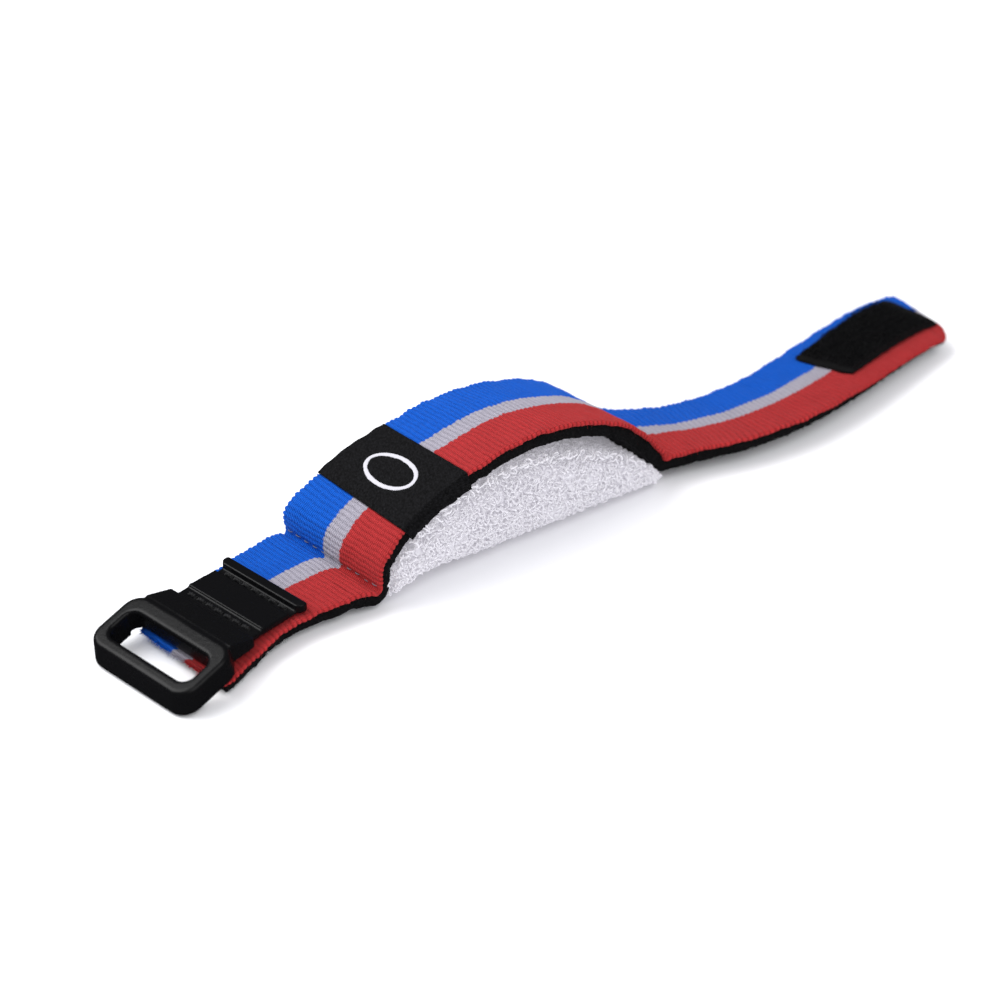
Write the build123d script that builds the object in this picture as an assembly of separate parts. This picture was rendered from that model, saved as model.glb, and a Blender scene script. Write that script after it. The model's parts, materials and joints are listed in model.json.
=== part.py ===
"""Padded sweat strap for the wrist: a striped elastic strap arched over a terry pad, with a moulded
buckle sewn to one end and a hook patch on the other.  Millimetres, +Z up.

The origin is the centre of the pad's underside.  +X runs along the strap towards the tail's tip,
the buckle is at -X, and +Y is the strap's blue edge.
"""
from build123d import *
import os
from math import cos, pi, radians, sin

# ------------------------------------------------------------------ strap, mm and degrees
STRAP_WIDTH = 25.0          # one-inch elastic over the pad
TAIL_WIDTH = 19.1           # the tail is cut narrower, so that it passes the buckle
END_WIDTH = 21.4            # the strap's end under the buckle
END_THINNING = 1.3          # how much thinner the backing is at that end
BAND_THICKNESS = 1.0        # striped rib-knit elastic
BACKING_THICKNESS = 2.4     # black foam-backed loop cloth
LAYER_GAP = 0.08
BEND_CLEARANCE = 0.15       # between the two sides of each bend line
TIP_ROUNDING = 3.0

BAND = (-BAND_THICKNESS, 0.0)
BACKING = (BAND[0] - LAYER_GAP - BACKING_THICKNESS, BAND[0] - LAYER_GAP)
STACK = -BACKING[0]
HALF_STACK = STACK / 2

# Top centre line of the arch over the pad, as (x, z), from the buckle's side to the tail's side.
ARCH_LINE = [(-33.9, 3.1), (-29.9, 11.2), (-24.9, 15.2), (-12.2, 19.3), (-0.2, 21.0),
             (12.8, 19.0), (23.4, 14.3), (28.9, 9.4), (33.6, 3.7)]
ARCH_SKEW = (7.0, 0.0)      # yaw of the width direction at the arch's two feet
ARCH_ROLL = 8.5             # how far the near edge stands up at the crown
ARCH_SPAN = (0.035, 0.945)  # the arch stops short of its two creases, so that the strap can fold up there
ARCH_STEPS = 18             # sections that each layer of the arch is lofted through

# Top centre line of the flat front run, from the strap's cut end to the crease, as (x, y, z).
FRONT_LINE = [(-66.9, -3.7, 2.3), (-61.0, -2.6, 3.1), (-55.0, -1.5, 3.9), (-47.0, -0.2, 4.3),
              (-41.0, 0.1, 4.7), (-37.0, 0.05, 4.8), (-32.5, 0.0, 4.1)]
FRONT_YAW = (10.0, 9.0, 8.0, 7.0)
FRONT_WIDTH = (END_WIDTH, 21.4, 20.6, 22.6, 24.6)

# Top centre line of the tail, from the crease to the tip.
TAIL_LINE = [(32.2, -0.8, 4.36), (41.0, -5.6, 4.7), (52.0, -8.9, 5.0), (62.0, -9.9, 5.4),
             (72.0, -9.2, 5.6), (91.0, -5.7, 5.2), (107.8, -3.4, 3.5)]
TAIL_YAW = (-8.0, -15.0, -10.0, 2.0, 12.0, 13.0, 11.0, 8.0, 2.0)
TAIL_ROLL = (-6.0, -8.0, -7.0, -6.0, -4.0, -2.5, -2.5, -2.0, -2.0)
TAIL_WIDTHS = (23.4, TAIL_WIDTH, TAIL_WIDTH, TAIL_WIDTH, TAIL_WIDTH)
TAIL_LENGTH = 77.2          # along the top, to place the rounding of the tip

# Bend lines: fraction along their run, and how far each turns, in degrees.
BUCKLE_BEND = 0.75
TAIL_BENDS = (0.18, 0.36, 0.545)

# How far each bend turns from the laid-out shape, in degrees: + wraps the strap down round the wrist.
FRONT_FOLD_RANGE = (-12.0, 75.0)
BUCKLE_FOLD_RANGE = (-20.0, 35.0)
TAIL_FOLD_RANGE = (-15.0, 60.0)
TAIL_CURL_RANGE = (-20.0, 38.0)

# ------------------------------------------------------------------ label
LABEL_SPAN = (0.175, 0.345)         # fractions of the arch
LABEL_THICKNESS = 0.45
LABEL_CLEARANCE = 0.05
LABEL_MARGIN = 0.02                 # fraction of the arch that the sleeve's hole is cut longer by
MARK_SIZE = (6.6, 3.7)              # half sizes of the ring mark, across and along the strap
MARK_STROKE = 0.9
MARK_THICKNESS = 0.15

# ------------------------------------------------------------------ terry pad
PAD_HALF_WIDTH = 12.9
PAD_ENDS = (-28.8, 28.4)
PAD_GAP = 0.7               # between the backing's underside and the terry lining
PAD_OVERHANG = 8.0          # how much wider than the strap the lining is before it is cut to the pad
TERRY_THICKNESS = 1.8
PAD_LIFT = [(-40.0, 2.6), (-31.0, 2.8), (-23.0, 4.2), (-14.0, 1.4), (-8.0, 0.0)]

# ------------------------------------------------------------------ buckle
BUCKLE_ORIGIN = (-75.72, -5.2)      # the middle of the front bar's lower edge, on the floor
BUCKLE_YAW = 10.0
RING_PITCH = 14.0
RING_LENGTH = 13.6
RING_WIDTH = 24.4
RING_THICKNESS = 4.8
RING_CORNER = 3.4
RING_ROUNDING = (0.45, 0.9)         # lower edges, upper edges
WINDOW = (3.7, 10.1)                # from and to, along the pitched ring
WINDOW_WIDTH = 19.5
WINDOW_CORNER = 2.0
WINDOW_ROUNDING = 0.7
STRAP_ROOM = (5.4, 22.6, 0.7)       # length, width and depth of the hollow over the strap's end
NECK = (9.0, 18.0)                  # from and to, along the buckle
NECK_WIDTH = 20.6
FLANGE_WIDTH = 18.2
FLANGE = (14.0, 30.6)
LIP = (28.4, FLANGE[1])             # the thick bar at the flange's rear end
LIP_WIDTH = 19.6
PLATE_CORNER = 1.0
CHANNELS = ((17.6, 20.4), (26.5, 28.2))
CHANNEL_DEPTH = 0.55

# ------------------------------------------------------------------ hook patch and thread
PATCH_SPAN = (0.599, 0.978)         # fractions of the tail
PATCH_WIDTH = 13.4
PATCH_SHIFT = 1.0                   # from the tail's centre towards the blue edge
TAPE_THICKNESS = 0.5
HOOK_HEIGHT = 0.9
HOOK_MARGIN = 0.8
THREAD = 0.35
STITCH_LENGTH = 1.5
STITCH_PITCH = 2.2
STITCH_MARGIN = 0.008               # fraction of the tail between the tape's end and its stitches
HOOK_INSET = 0.02                   # fraction of the tail between the tape's end and its hooks
SEAM_PLACES = (0.055, 0.93)         # fractions of the arch where the pad is sewn on
SMALL = 0.02                        # the gap between pieces that lie on one another


# ------------------------------------------------------------------ strap runs and bend lines
def even(values, t):
    """The value at fraction t of a list of evenly spaced values."""
    place = min(max(t, 0.0), 1.0) * (len(values) - 1)
    low = min(int(place), len(values) - 2)
    return values[low] + (values[low + 1] - values[low]) * (place - low)


class Run:
    """One run of strap: its top centre line, and how its width lies along the line."""

    def __init__(self, points, yaw, roll, width):
        self.line = Spline([Vector(*p) for p in points])
        self.yaw = yaw
        self.roll = roll
        self.width = width

    def frame(self, t, depth=0.0):
        """The plane across the strap at fraction t: x along the width, y out of the top, z along the run."""
        along = self.line % t
        yaw = radians(self.yaw(t))
        across = Vector(-sin(yaw), cos(yaw), 0).rotate(Axis((0, 0, 0), along), self.roll(t))
        out = along.cross(across).normalized()
        return Plane(self.line @ t - out * depth, x_dir=across, z_dir=across.cross(out))

    def strip(self, span, layer, widen=0.0, shift=0.0, steps=10, thinning=0.0):
        """A layer of the strap between two fractions of the run, thinned from below towards its start."""
        high = layer[1]
        sections = []
        for i in range(steps + 1):
            t = span[0] + (span[1] - span[0]) * i / steps
            low = layer[0] + thinning * (1 - i / steps)
            outline = Pos(shift, (low + high) / 2) * Rectangle(self.width(t) + widen, high - low)
            sections.append(self.frame(t) * outline)
        return loft(sections)


ARCH = Run([(x, 0.0, z) for x, z in ARCH_LINE],
           yaw=lambda t: even(ARCH_SKEW, t),
           roll=lambda t: -ARCH_ROLL * sin(pi * t) ** 0.6,
           width=lambda t: STRAP_WIDTH)
FRONT = Run(FRONT_LINE,
            yaw=lambda t: even(FRONT_YAW, t),
            roll=lambda t: 0.0,
            width=lambda t: even(FRONT_WIDTH, t))


def tail_width(t):
    """The tail's width: tapered at the crease and rounded at the tip."""
    from_tip = (1.0 - t) * TAIL_LENGTH
    rounding = 0.0
    if from_tip < TIP_ROUNDING:
        rounding = TIP_ROUNDING - (TIP_ROUNDING ** 2 - (TIP_ROUNDING - from_tip) ** 2) ** 0.5
    return even(TAIL_WIDTHS, min(t * 2, 1.0)) - 2 * rounding


TAIL = Run(TAIL_LINE,
           yaw=lambda t: even(TAIL_YAW, t),
           roll=lambda t: even(TAIL_ROLL, t),
           width=tail_width)

FRONT_CREASE = FRONT.frame(1.0, HALF_STACK)
BUCKLE_CREASE = FRONT.frame(BUCKLE_BEND, HALF_STACK)
TAIL_CREASE = TAIL.frame(0.0, HALF_STACK)
TAIL_CREASES = [TAIL.frame(t, HALF_STACK) for t in TAIL_BENDS]


def roller(crease, radius, width):
    """A cylinder on a bend line."""
    return crease * (Rot(0, 90, 0) * Cylinder(radius, width))


def nose(crease, layer, width):
    """The rounded end of a layer, which turns about the bend line."""
    low, high = (edge + HALF_STACK for edge in layer)
    slab = crease * (Pos(0, (low + high) / 2, 0) * Box(width - SMALL, high - low - SMALL, 2 * STACK))
    return roller(crease, HALF_STACK, width) & slab


def cup(crease):
    """The hollow that a nose turns in."""
    return roller(crease, HALF_STACK + BEND_CLEARANCE, 2 * STRAP_WIDTH)


def largest(shape):
    """The biggest solid of a shape, without the slivers that a cut leaves."""
    return max(shape.solids(), key=lambda solid: solid.volume)


def bent_layer(run, span, layer, crease, width, next_crease=None, thinning=0.0):
    """One layer of a section of strap: a nose on its own bend line and a cup for the next section's."""
    solid = Part() + run.strip(span, layer, thinning=thinning) + nose(crease, layer, width)
    if next_crease is not None:
        solid = solid - cup(next_crease)
    return largest(solid)


# ------------------------------------------------------------------ terry pad
def under_arch(depth):
    """Everything above a surface that lies the given depth below the arch's top."""
    return ARCH.strip((0.0, 1.0), (-depth, STRAP_WIDTH), widen=STRAP_WIDTH, steps=ARCH_STEPS)


def pad_block(inset):
    """The block that the pad is cut from, drawn in by inset on the sides and the underside."""
    left, right = PAD_ENDS[0] + inset, PAD_ENDS[1] - inset
    lift = Spline([Vector(x, 0, z + inset) for x, z in PAD_LIFT], tangents=[(1, 0, 0), (1, 0, 0)])
    start = lift @ 0
    end = lift @ 1
    top = STRAP_WIDTH
    outline = lift + Polyline(end, (right, 0, inset), (right, 0, top), (start.X, 0, top), start)
    half_width = PAD_HALF_WIDTH - inset
    block = extrude(make_face(outline), half_width, both=True)
    middle = (left + right) / 2
    return block & (Pos(middle, 0, STRAP_WIDTH / 2) * Box(right - left, 2 * half_width, 2 * STRAP_WIDTH))


def pad_pieces():
    """The terry lining under the backing, the terry tray against the skin, and the filling between them."""
    top = STACK + PAD_GAP
    sheet = ARCH.strip((0.0, 1.0), (-top - TERRY_THICKNESS, -top), widen=PAD_OVERHANG, steps=ARCH_STEPS)
    lining = largest(pad_block(0) & sheet)
    tray = pad_block(0) - under_arch(top + TERRY_THICKNESS + SMALL) - pad_block(TERRY_THICKNESS)
    filling = pad_block(TERRY_THICKNESS + SMALL) - under_arch(top + TERRY_THICKNESS + 2 * SMALL)
    return lining, largest(tray), largest(filling)


# ------------------------------------------------------------------ label
def label_sleeve():
    """The woven label: a sleeve round the strap."""
    grow = LABEL_CLEARANCE
    inner = (BACKING[0] - grow, grow)
    outer = (inner[0] - LABEL_THICKNESS, inner[1] + LABEL_THICKNESS)
    sleeve = ARCH.strip(LABEL_SPAN, outer, widen=2 * (grow + LABEL_THICKNESS))
    hole_span = (LABEL_SPAN[0] - LABEL_MARGIN, LABEL_SPAN[1] + LABEL_MARGIN)
    return sleeve - ARCH.strip(hole_span, inner, widen=2 * grow)


def label_mark():
    """A plain oval ring on the label's top."""
    low = LABEL_CLEARANCE + LABEL_THICKNESS + SMALL
    skin = ARCH.strip(LABEL_SPAN, (low, low + MARK_THICKNESS))
    across, along = MARK_SIZE
    ring = Ellipse(across, along) - Ellipse(across - MARK_STROKE, along - MARK_STROKE)
    middle = ARCH.frame(sum(LABEL_SPAN) / 2)
    face = Plane(middle.origin, x_dir=middle.x_dir, z_dir=middle.y_dir)
    return skin & extrude(face * ring, 2 * STACK, both=True)


# ------------------------------------------------------------------ buckle
BUCKLE_TURN = radians(BUCKLE_YAW)
BUCKLE = Plane((*BUCKLE_ORIGIN, 0), x_dir=(cos(BUCKLE_TURN), sin(BUCKLE_TURN), 0), z_dir=(0, 0, 1))
BUCKLE_SIDE = Plane((0, 0, 0), x_dir=(1, 0, 0), z_dir=(0, -1, 0))
SHELF_TOP = [(9.2, 6.9), (12.4, 7.7), (17.6, 6.1), (26.4, 5.65), (27.8, 6.2), (30.1, 6.2)]
SHELF_UNDER = [(FLANGE[1], 4.6), (20.2, 4.55), (9.6, 3.8)]
LIP_FACE = 0.9                      # height of the upright face at the shelf's rear end


def plan_block(span, width, corner):
    """A tall block over part of the buckle's length, with rounded corners in plan."""
    start, end = span
    outline = Pos((start + end) / 2, 0) * RectangleRounded(end - start, width, corner)
    return extrude(outline, RING_LENGTH, both=True)


def in_window(point):
    """Whether a point of the ring is on the window's outline or inside it."""
    return abs(point.Y) < WINDOW_WIDTH / 2 + SMALL and WINDOW[0] - SMALL < point.X < WINDOW[1] + SMALL


def ring():
    """The open ring at the front, pitched up towards the rear, with an upright front face."""
    lean = RING_THICKNESS * sin(radians(RING_PITCH)) / cos(radians(RING_PITCH))
    top = RING_THICKNESS
    side = Polyline((0, 0), (RING_LENGTH, 0), (RING_LENGTH, top), (lean, top), close=True)
    body = extrude(BUCKLE_SIDE * make_face(side), RING_WIDTH / 2, both=True)
    corners = [edge for edge in body.edges() if abs((edge @ 1 - edge @ 0).Z) > RING_THICKNESS / 2]
    body = fillet(corners, RING_CORNER)
    levels = body.edges().group_by(Axis.Z)
    body = fillet(levels[-1], RING_ROUNDING[1])
    body = fillet(body.edges().group_by(Axis.Z)[0], RING_ROUNDING[0])
    body = body - plan_block(WINDOW, WINDOW_WIDTH, WINDOW_CORNER)
    rim = [edge for edge in body.edges().group_by(Axis.Z)[-1] if in_window(edge.center())]
    body = fillet(rim, WINDOW_ROUNDING)
    room_length, room_width, room_depth = STRAP_ROOM
    strap_room = Pos(RING_LENGTH, 0, 0) * Box(2 * room_length, room_width, 2 * room_depth)
    return Rot(0, -RING_PITCH, 0) * (body - strap_room)


def channel_floor(channel):
    """Height of a sewing channel's floor."""
    start, end = channel
    return min(z for a, z in SHELF_TOP if start - 1 < a < end + 1) - CHANNEL_DEPTH


def shelf():
    """The plate behind the window, which narrows to the flange that is sewn on the strap."""
    rear = (FLANGE[1], SHELF_UNDER[0][1] + LIP_FACE)
    outline = Polyline(*SHELF_TOP, rear, *SHELF_UNDER, close=True)
    plate = extrude(BUCKLE_SIDE * make_face(outline), RING_WIDTH, both=True)
    plan = plan_block(NECK, NECK_WIDTH, PLATE_CORNER) + plan_block(FLANGE, FLANGE_WIDTH, PLATE_CORNER)
    plate = plate & (plan + plan_block(LIP, LIP_WIDTH, PLATE_CORNER))
    for channel in CHANNELS:
        start, end = channel
        depth = RING_THICKNESS
        slot = Box(end - start, 2 * RING_WIDTH, depth)
        plate = plate - Pos((start + end) / 2, 0, channel_floor(channel) + depth / 2) * slot
    return plate


def buckle():
    """The moulded buckle, in one piece."""
    return BUCKLE * (ring() + shelf())


def stitch(length):
    """One thread stitch along local x: a short round-ended bar."""
    return Cylinder(THREAD / 2, length, rotation=(0, 90, 0))


def buckle_stitches(channel):
    """A row of stitches across the buckle, on the floor of one of its channels."""
    start, end = channel
    height = channel_floor(channel) + THREAD / 2 + SMALL
    count = int((FLANGE_WIDTH - 2) / STITCH_PITCH)
    places = [(i - (count - 1) / 2) * STITCH_PITCH for i in range(count)]
    bar = Rot(0, 0, 90) * stitch(STITCH_LENGTH)
    row = [Pos((start + end) / 2, place, height) * bar for place in places]
    return BUCKLE * Compound(children=row)


# ------------------------------------------------------------------ hook patch and sewing
def strap_row(run, t, height, width):
    """A row of stitches across a run of strap, standing on the given height."""
    frame = run.frame(t)
    count = int((width - 2) / STITCH_PITCH)
    places = [(i - (count - 1) / 2) * STITCH_PITCH for i in range(count)]
    return Compound(children=[frame * (Pos(place, height, 0) * stitch(STITCH_LENGTH)) for place in places])


def patch_stitches():
    """The two rows of stitches that hold the hook tape at its ends."""
    height = SMALL + TAPE_THICKNESS + THREAD / 2 + SMALL
    ends = (PATCH_SPAN[0] + STITCH_MARGIN, PATCH_SPAN[1] - STITCH_MARGIN)
    rows = [strap_row(TAIL, t, height, PATCH_WIDTH) for t in ends]
    shifted = []
    for row, t in zip(rows, PATCH_SPAN):
        across = TAIL.frame(t).x_dir
        shifted.append(Pos(across * PATCH_SHIFT) * row)
    return Compound(children=shifted)


def patch_layer(span, layer, narrow):
    """A layer of the hook patch, on top of the tail."""
    width = TAIL.width(0.5)
    return TAIL.strip(span, layer, widen=PATCH_WIDTH - narrow - width, shift=PATCH_SHIFT)


# ------------------------------------------------------------------ the nodes
def build():
    """Every node by name."""
    lining, tray, filling = pad_pieces()
    nodes = {
        "strap_arch": ARCH.strip(ARCH_SPAN, BAND, steps=ARCH_STEPS),
        "backing_arch": ARCH.strip(ARCH_SPAN, BACKING, steps=ARCH_STEPS),
        "label_sleeve": label_sleeve(),
        "label_mark": label_mark(),
        "terry_lining": lining,
        "terry_cover": tray,
        "pad_filling": filling,
    }
    stitch_height = THREAD / 2 + SMALL
    nodes["pad_seam_front"] = strap_row(ARCH, SEAM_PLACES[0], stitch_height, STRAP_WIDTH)
    nodes["pad_seam_tail"] = strap_row(ARCH, SEAM_PLACES[1], stitch_height, STRAP_WIDTH)

    middle, buckle_end = (BUCKLE_BEND, 1.0), (0.0, BUCKLE_BEND)
    for name, layer in (("strap", BAND), ("backing", BACKING)):
        width = FRONT.width(1.0)
        nodes[f"{name}_front"] = bent_layer(FRONT, middle, layer, FRONT_CREASE, width, BUCKLE_CREASE)
        width = FRONT.width(BUCKLE_BEND)
        thinning = END_THINNING if name == "backing" else 0.0
        nodes[f"{name}_buckle"] = bent_layer(FRONT, buckle_end, layer, BUCKLE_CREASE, width, thinning=thinning)
        stops = (0.0, *TAIL_BENDS, 1.0)
        creases = [TAIL_CREASE, *TAIL_CREASES, None]
        for i, section in enumerate(("tail_root", "tail_middle", "tail_end", "tail_tip")):
            span = (stops[i], stops[i + 1])
            width = TAIL.width(span[0])
            nodes[f"{name}_{section}"] = bent_layer(TAIL, span, layer, creases[i], width, creases[i + 1])

    nodes["buckle"] = buckle()
    nodes["buckle_stitches_front"] = buckle_stitches(CHANNELS[0])
    nodes["buckle_stitches_rear"] = buckle_stitches(CHANNELS[1])

    tape = (SMALL, SMALL + TAPE_THICKNESS)
    hooks = (tape[1] + SMALL, tape[1] + SMALL + HOOK_HEIGHT)
    hook_span = (PATCH_SPAN[0] + HOOK_INSET, PATCH_SPAN[1] - HOOK_INSET)
    nodes["hook_tape"] = patch_layer(PATCH_SPAN, tape, 0.0)
    nodes["hook_field"] = patch_layer(hook_span, hooks, 2 * HOOK_MARGIN)
    nodes["patch_stitches"] = patch_stitches()
    return nodes


def main():
    os.makedirs("parts", exist_ok=True)
    for name, shape in build().items():
        export_step(shape, f"parts/{name}.step")


main()
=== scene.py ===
"""Looks for the padded sweat strap: knitted elastic, terry loops, woven label, moulded buckle and hook
patch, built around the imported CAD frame. Lengths are millimetres unless a comment says otherwise."""
import itertools
import json
import math
import bmesh
import bpy
import numpy as np
from mathutils import Matrix, Vector

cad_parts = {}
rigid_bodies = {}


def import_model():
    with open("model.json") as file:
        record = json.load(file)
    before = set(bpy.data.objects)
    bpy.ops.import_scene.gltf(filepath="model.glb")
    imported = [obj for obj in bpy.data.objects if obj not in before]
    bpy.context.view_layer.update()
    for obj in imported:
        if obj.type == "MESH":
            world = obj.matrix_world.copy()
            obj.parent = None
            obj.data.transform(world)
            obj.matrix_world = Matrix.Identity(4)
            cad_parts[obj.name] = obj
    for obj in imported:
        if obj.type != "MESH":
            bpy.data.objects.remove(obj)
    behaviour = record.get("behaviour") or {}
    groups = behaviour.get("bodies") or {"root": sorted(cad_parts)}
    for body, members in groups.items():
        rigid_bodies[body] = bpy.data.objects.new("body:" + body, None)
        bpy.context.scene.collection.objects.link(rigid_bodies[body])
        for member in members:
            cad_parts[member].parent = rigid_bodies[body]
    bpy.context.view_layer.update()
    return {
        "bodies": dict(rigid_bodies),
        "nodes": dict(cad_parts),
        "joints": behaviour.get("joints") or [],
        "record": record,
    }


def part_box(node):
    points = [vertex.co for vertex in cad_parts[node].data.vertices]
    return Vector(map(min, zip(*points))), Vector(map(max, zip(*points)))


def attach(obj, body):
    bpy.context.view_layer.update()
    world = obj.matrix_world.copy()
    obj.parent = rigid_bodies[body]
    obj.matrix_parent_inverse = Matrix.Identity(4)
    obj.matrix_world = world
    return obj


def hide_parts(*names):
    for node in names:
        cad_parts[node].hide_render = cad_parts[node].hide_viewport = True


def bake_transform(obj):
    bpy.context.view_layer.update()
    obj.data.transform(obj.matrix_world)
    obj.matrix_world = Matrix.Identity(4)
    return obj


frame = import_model()
JOINTS = {joint["name"]: joint for joint in frame["joints"]}

MM = 0.001

# --- driving dimensions
BAND_THICKNESS = 1.0
BACKING_THICKNESS = 2.4
STACK = BAND_THICKNESS + BACKING_THICKNESS
STEP = 0.125                # spacing of the strap's stations
RIB_PITCH = 1.0
RIB_HEIGHT = 0.2
EDGE_RADIUS = 0.42
TOOTH = 0.38                # how far a rib's end stands out of the strap's edge
BACKING_SHORT = 1.3         # the backing stops this far before the band's cut end
END_BACKING = 1.1           # the backing's thickness at both ends of the strap
TIP_CORNERS = (4.2, 1.8)    # radius of the tip's near and far corner
TIP_SKEW = 1.5              # how much further than the middle the tip's far corner reaches
END_SHIFT = (1.1, 15.0)     # how far the strap's end lies aside under the buckle, and over what length
BACKING_FLARE = 0.8         # how far the backing stands out of that end's near edge
FLARE_LENGTH = 12
BACKING_STEP = 0.25
BACKING_INSET = 0.3         # how far the backing's edge lies inside the band's
BACKING_ROUND = 0.55
FIBRE_CLEARANCE = 0.45      # the lowest edge fibres start this far above the backing's underside
END_TRIM = 0.35             # how much shorter that end is than the CAD's
TAIL_DROOP = 0.65           # how far the tail's near edge rolls down, at the tip
BLUE_SHARE, WHITE_SHARE = 0.425, 0.172
STRIPE_BLEED = 0.004        # half the width of the change between two stripes
STRIPE_SHIFT = 0.009        # how far a rib's stripes lie aside from the next one's
STRIPE_FRAY = 0.006
YARNS_ACROSS = 62
CREASE_PINCH = 0.45         # how much deeper the strap is drawn in at a sewn crease
# Half the length of strap either side of a joint.
BEND_REACH = {"front_fold": 2.0, "buckle_fold": 2.0, "tail_fold": 3.2}
CURL_REACH = 4.2
SMOOTHING, CREASE_SMOOTHING, CREASE_WIDTH = 6, 2.5, 14    # reach of each, in stations
PAD_HALF_WIDTH = 12.3
PAD_BULGE = 0.5
LOOP_COVER = 0.42           # the pad's body lies this far under the tips of its loops
LOOP_RADIUS = 0.46
LOOP_STEPS = 11
LOOP_ROOT = 0.2             # how deep a loop starts in the cloth
RIM_CURL = 1.3              # how much larger the curls under the backing's edge are
ROOF_HALF_WIDTH = 6.5       # the pad's roof has loops only further out than this
YARN_RADIUS = 0.165
LOOPS_IN_PIECE = 1950
LOOP_DENSITY = 3.6          # terry loops per square millimetre
LABEL_GAP, LABEL_THICKNESS = 0.03, 0.12
LABEL_SINK = 0.18           # how far the label presses the band's ribs down
LABEL_THREAD = 0.42
MARK_SIZE = (6.6, 3.7)      # half sizes of the ring mark, across and along the strap
MARK_STROKE = 0.9
STITCH_LENGTH, STITCH_PITCH = 1.5, 2.2
SEAM_MARGIN = 1.2           # how far a crease's stitches stay from the strap's edges
SEAM_SHIFT = 0.7            # how far they lie from the joint's line, on the arch's side
HOOK_PITCH = 0.78
PATCH_TAPER = 1.6           # how much narrower its far side starts
PATCH_SKEW = 2.3            # how much further forward its far side lies
PATCH_THICKNESS = 0.5
PATCH_CORNER, PATCH_ROUND = 1.2, 0.2    # radius of its corners in plan, and of its edges

# --- camera and light
CAMERA_AZIMUTH, CAMERA_ELEVATION = -37.77, 35.41
CAMERA_DISTANCE = 0.4715    # metres, as AIM and the floor's level are
LENS = 93.6
FOCUS_AT = 55.0             # arc length of the strap that is in focus
AIM = Vector((0.00481, 0.00099, 0.0))
F_STOP = 17
SKY = 0.82
SKY_IN_GLOSS = 0.04         # share of the sky that shows in glossy reflections
FLOOR_LEVEL = -0.0001
FLOOR_WHITE = (0.865, 0.865, 0.88, 1)
FLOOR_IN_GLOSS = (0.03, 0.03, 0.033, 1)

# --- colours, linear
BLUE = (0.0015, 0.088, 0.50, 1)
PALE = (0.36, 0.34, 0.40, 1)
RED = (0.39, 0.025, 0.027, 1)
# painted shade for the elastic's grooves: the stripe colour is multiplied by this between the ribs
GROOVE_SHADE = (0.55, 0.55, 0.57, 1)
BLACK_CLOTH = (0.0028, 0.0027, 0.003, 1)
# painted sheen for black cloth: a lighter copy of its colour, shown on the raised fuzz
FUZZ_SHEEN_CLOTH = (0.00872, 0.00848, 0.0092, 1)
# painted highlight on the label's thread crowns
LABEL_CROWN_HIGHLIGHT = (0.016, 0.016, 0.018, 1)
LABEL_WHITE = (0.50, 0.49, 0.53, 1)
TERRY_WHITE = (0.54, 0.527, 0.565, 1)
# painted light: the terry yarn glows at this strength, which lifts the shade in and between its loops
TERRY_GLOW = 0.30
MOULDED = (0.0035, 0.0035, 0.004, 1)
THREAD_DARK = (0.006, 0.006, 0.007, 1)
SEAM_THREAD = (0.12, 0.12, 0.15, 1)


# --- mesh helpers
def new_object(name, data=None):
    thing = bpy.data.objects.new(name, data)
    bpy.context.scene.collection.objects.link(thing)
    return thing


def mesh_piece(name, points, faces, attributes=None):
    """A smooth mesh object from points in mm and an array of quads, with float attributes per point."""
    mesh = bpy.data.meshes.new(name)
    points = np.asarray(points, np.float64) * MM
    faces = np.asarray(faces, np.int32)
    count, corners = faces.shape
    mesh.vertices.add(len(points))
    mesh.vertices.foreach_set("co", points.astype(np.float32).ravel())
    mesh.loops.add(count * corners)
    mesh.loops.foreach_set("vertex_index", faces.ravel())
    mesh.polygons.add(count)
    mesh.polygons.foreach_set("loop_start", np.arange(0, count * corners, corners, dtype=np.int32))
    mesh.update(calc_edges=True)
    mesh.polygons.foreach_set("use_smooth", np.full(count, True))
    for key, values in (attributes or {}).items():
        layer = mesh.attributes.new(key, "FLOAT", "POINT")
        layer.data.foreach_set("value", np.asarray(values, np.float32).ravel())
    mesh.validate()
    return new_object(name, mesh)


def fit(piece, material, body=None, nodes=()):
    """Gives a piece its material and the body it rides on, and hides the CAD nodes it stands for."""
    piece.data.materials.append(material)
    if body:
        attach(piece, body)
    if nodes:
        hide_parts(*nodes)


def ring_faces(rows, columns):
    """Quads of a tube of closed rings."""
    i, j = np.meshgrid(np.arange(rows - 1), np.arange(columns), indexing="ij")
    a = i * columns + j
    b = i * columns + (j + 1) % columns
    return np.stack([a, b, b + columns, a + columns], -1).reshape(-1, 4)


def ring_caps(rows, columns):
    """Quads that close both ends of a tube whose rings have an even number of points, zipped across."""
    half = columns // 2
    first = np.array([[j, j + 1, columns - 2 - j, columns - 1 - j] for j in range(half - 1)])
    return np.vstack([first[:, ::-1], first + (rows - 1) * columns])


def tube_faces(rows, columns):
    """Quads of a tube that is closed at both ends."""
    return np.vstack([ring_faces(rows, columns), ring_caps(rows, columns)])


def unit(vectors):
    return vectors / np.maximum(np.linalg.norm(vectors, axis=-1, keepdims=True), 1e-12)


def lengths_along(line):
    """How far each point of a line is from its start, along the line."""
    return np.concatenate([[0], np.cumsum(np.linalg.norm(np.diff(line, axis=0), axis=1))])


def sample(values, arc, s):
    """Three-number values given at the arc lengths arc, read at the arc lengths s."""
    return np.stack([np.interp(s, arc, values[:, k]) for k in range(3)], -1)


def waves(seed, points, size, count=24):
    """A smooth random field near -1..1 at the points, whose features are about size across."""
    random = np.random.default_rng(seed)
    directions = unit(random.normal(size=(count, points.shape[-1])))
    lengths = size * random.uniform(0.6, 1.7, count)
    phases = random.uniform(0, 2 * np.pi, count)
    total = np.zeros(points.shape[:-1])
    for direction, length, phase in zip(directions, lengths, phases):
        total += np.sin(points @ direction * (2 * np.pi / length) + phase)
    return total / math.sqrt(count / 2) * 0.7


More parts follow.
